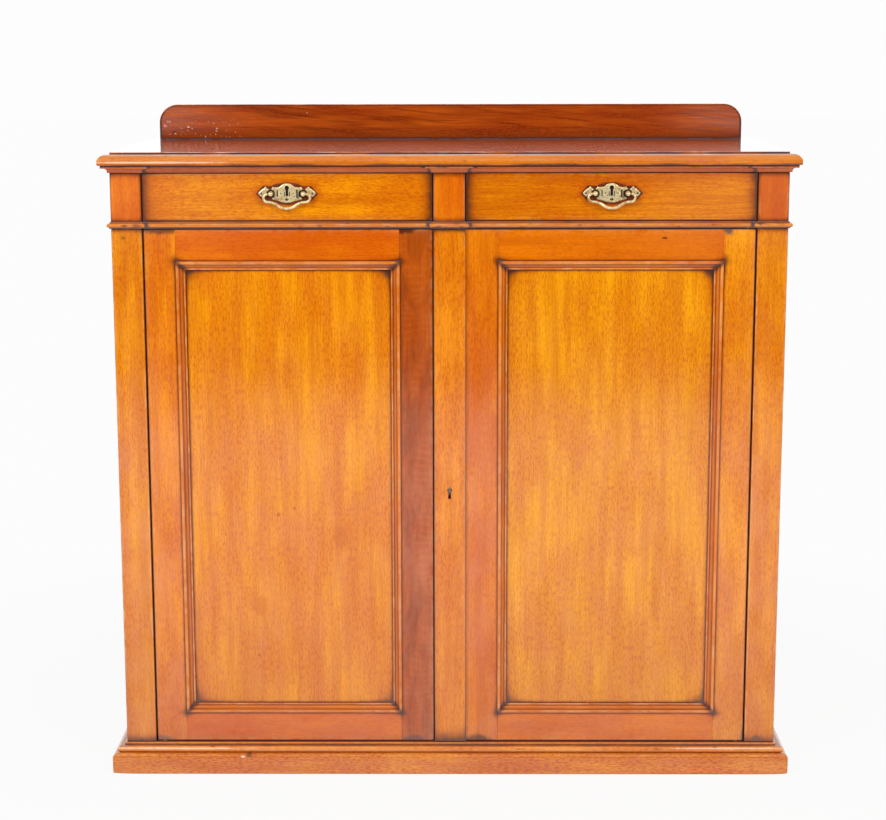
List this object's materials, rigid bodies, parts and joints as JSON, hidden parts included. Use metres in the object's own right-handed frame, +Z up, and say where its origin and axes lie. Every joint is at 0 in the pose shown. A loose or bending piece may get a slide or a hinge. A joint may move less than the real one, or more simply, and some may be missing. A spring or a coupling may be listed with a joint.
{
  "type": "chiffonier",
  "caption": "Chiffonier: frieze drawers with swinging brass bails over a panelled cupboard with pilasters, moulded top and low backboard; doors, drawers, locks and bolts move.",
  "frame": {"origin": "on the floor under the middle of the bounding box", "axes": "+X to the right as one faces the piece, +Y to the back, +Z up; the front faces -Y"},
  "size_m": [1.149, 0.47, 1.116],
  "materials": {
    "polished_mahogany_dark": "french polish, dark red-brown",
    "polished_mahogany_mouldings": "french polish, red-brown, dirt in the quirks",
    "polished_mahogany": "french polish, orange-brown",
    "figured_mahogany": "french polish, golden orange, horizontal figure",
    "bare_pine": "unpolished, aged",
    "bare_oak": "unpolished, aged",
    "aged_brass": "cast, aged, dark in the recesses",
    "lock_iron": "blackened lock cases",
    "bolt_steel": "worn bright"
  },
  "bodies": {
    "carcase": {"top_board": "polished_mahogany_dark", "bed_mould": "polished_mahogany_mouldings", "backboard": "polished_mahogany_dark", "backboard_dowels": "bare_pine", "left_side": "polished_mahogany", "right_side": "polished_mahogany", "left_pilaster": "polished_mahogany", "right_pilaster": "polished_mahogany", "frieze_blocks": "polished_mahogany", "top_rail": "bare_pine", "drawer_kickers": "bare_pine", "drawer_rail": "bare_pine", "rail_astragal": "polished_mahogany_mouldings", "drawer_runners": "bare_pine", "dust_boards": "bare_pine", "drawer_guides": "bare_pine", "stops": "bare_pine", "bottom_board": "bare_pine", "plinth_front": "polished_mahogany_mouldings", "plinth_sides": "polished_mahogany_mouldings", "plinth_back": "bare_pine", "plinth_moulding": "polished_mahogany_mouldings", "plinth_glue_blocks": "bare_pine", "back_boards": "bare_pine", "shelf": "bare_pine", "shelf_bearers": "bare_pine", "carcase_door_plates": "aged_brass"},
    "left_drawer": {"left_drawer_front": "figured_mahogany", "left_drawer_sides": "bare_oak", "left_drawer_back": "bare_oak", "left_drawer_bottom": "bare_oak", "left_drawer_lock": "lock_iron", "left_handle_plate": "aged_brass", "left_handle_posts": "aged_brass"},
    "left_drawer_lock_bolt": {"left_drawer_lock_bolt": "bolt_steel"},
    "left_bail": {"left_bail": "aged_brass"},
    "right_drawer": {"right_drawer_front": "figured_mahogany", "right_drawer_sides": "bare_oak", "right_drawer_back": "bare_oak", "right_drawer_bottom": "bare_oak", "right_drawer_lock": "lock_iron", "right_handle_plate": "aged_brass", "right_handle_posts": "aged_brass"},
    "right_drawer_lock_bolt": {"right_drawer_lock_bolt": "bolt_steel"},
    "right_bail": {"right_bail": "aged_brass"},
    "left_door": {"left_door_stiles": "polished_mahogany", "left_door_rails": "polished_mahogany", "left_door_panel": "polished_mahogany", "left_door_moulding": "polished_mahogany_mouldings", "left_door_plates": "aged_brass"},
    "left_door_top_bolt": {"left_door_top_bolt": "aged_brass"},
    "left_door_bottom_bolt": {"left_door_bottom_bolt": "aged_brass"},
    "right_door": {"right_door_stiles": "polished_mahogany", "right_door_rails": "polished_mahogany", "right_door_panel": "polished_mahogany", "right_door_moulding": "polished_mahogany_mouldings", "right_door_pivots": "aged_brass", "centre_pilaster": "polished_mahogany", "door_lock": "lock_iron"},
    "door_lock_bolt": {"door_lock_bolt": "bolt_steel"}
  },
  "joints": [
    {"name": "left_drawer_slide", "type": "slide", "parent": "carcase", "child": "left_drawer", "axis": [0, -1, 0], "range_m": [0, 0.3]},
    {"name": "right_drawer_slide", "type": "slide", "parent": "carcase", "child": "right_drawer", "axis": [0, -1, 0], "range_m": [0, 0.3]},
    {"name": "left_bail_hinge", "type": "hinge", "parent": "left_drawer", "child": "left_bail", "pos_m": [-0.26425, -0.217, 0.985], "axis": [-1, 0, 0], "range_deg": [-12.5, 192.5]},
    {"name": "right_bail_hinge", "type": "hinge", "parent": "right_drawer", "child": "right_bail", "pos_m": [0.26425, -0.217, 0.985], "axis": [-1, 0, 0], "range_deg": [-12.5, 192.5]},
    {"name": "left_drawer_lock_bolt_slide", "type": "slide", "parent": "left_drawer", "child": "left_drawer_lock_bolt", "axis": [0, 0, 1], "range_m": [0, 0.007]},
    {"name": "right_drawer_lock_bolt_slide", "type": "slide", "parent": "right_drawer", "child": "right_drawer_lock_bolt", "axis": [0, 0, 1], "range_m": [0, 0.007]},
    {"name": "left_door_hinge", "type": "hinge", "parent": "carcase", "child": "left_door", "pos_m": [-0.4885, -0.204, 0.49], "axis": [0, 0, -1], "range_deg": [0, 105]},
    {"name": "right_door_hinge", "type": "hinge", "parent": "carcase", "child": "right_door", "pos_m": [0.4885, -0.204, 0.49], "axis": [0, 0, 1], "range_deg": [0, 105]},
    {"name": "left_door_top_bolt_slide", "type": "slide", "parent": "left_door", "child": "left_door_top_bolt", "axis": [0, 0, 1], "range_m": [0, 0.01]},
    {"name": "left_door_bottom_bolt_slide", "type": "slide", "parent": "left_door", "child": "left_door_bottom_bolt", "axis": [0, 0, -1], "range_m": [0, 0.01]},
    {"name": "door_lock_bolt_slide", "type": "slide", "parent": "right_door", "child": "door_lock_bolt", "axis": [-1, 0, 0], "range_m": [0, 0.008]}
  ]
}
